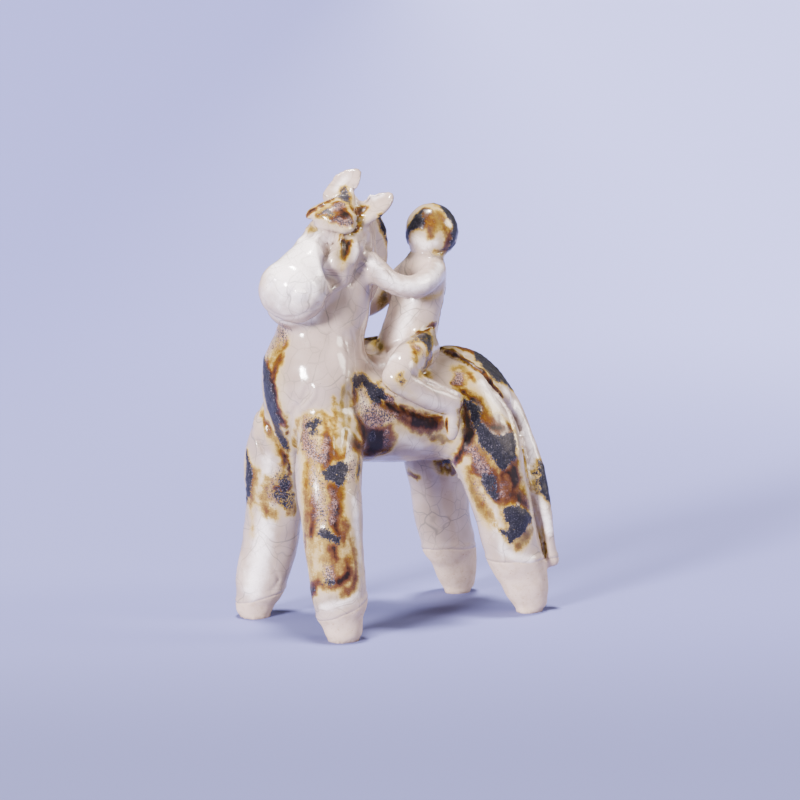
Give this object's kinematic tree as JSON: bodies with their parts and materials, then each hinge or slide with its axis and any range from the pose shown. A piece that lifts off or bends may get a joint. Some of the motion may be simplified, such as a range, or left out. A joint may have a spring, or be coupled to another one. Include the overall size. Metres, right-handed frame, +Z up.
{
  "type": "porcelain horse and rider figurine",
  "caption": "Small glazed toy of a standing horse with a child lying along its neck, on stub feet.",
  "frame": {"origin": "middle of the figure's footprint, on the ground its feet stand on", "axes": "+Z up; the horse faces -Y and its left side is +X"},
  "size_m": [0.0362, 0.061, 0.0857],
  "materials": {
    "ivory_glaze": "glossy crackled ivory glaze with iron brown splashes, bare buff feet"
  },
  "bodies": {
    "root": {"horse_and_rider": "ivory_glaze"}
  },
  "joints": []
}
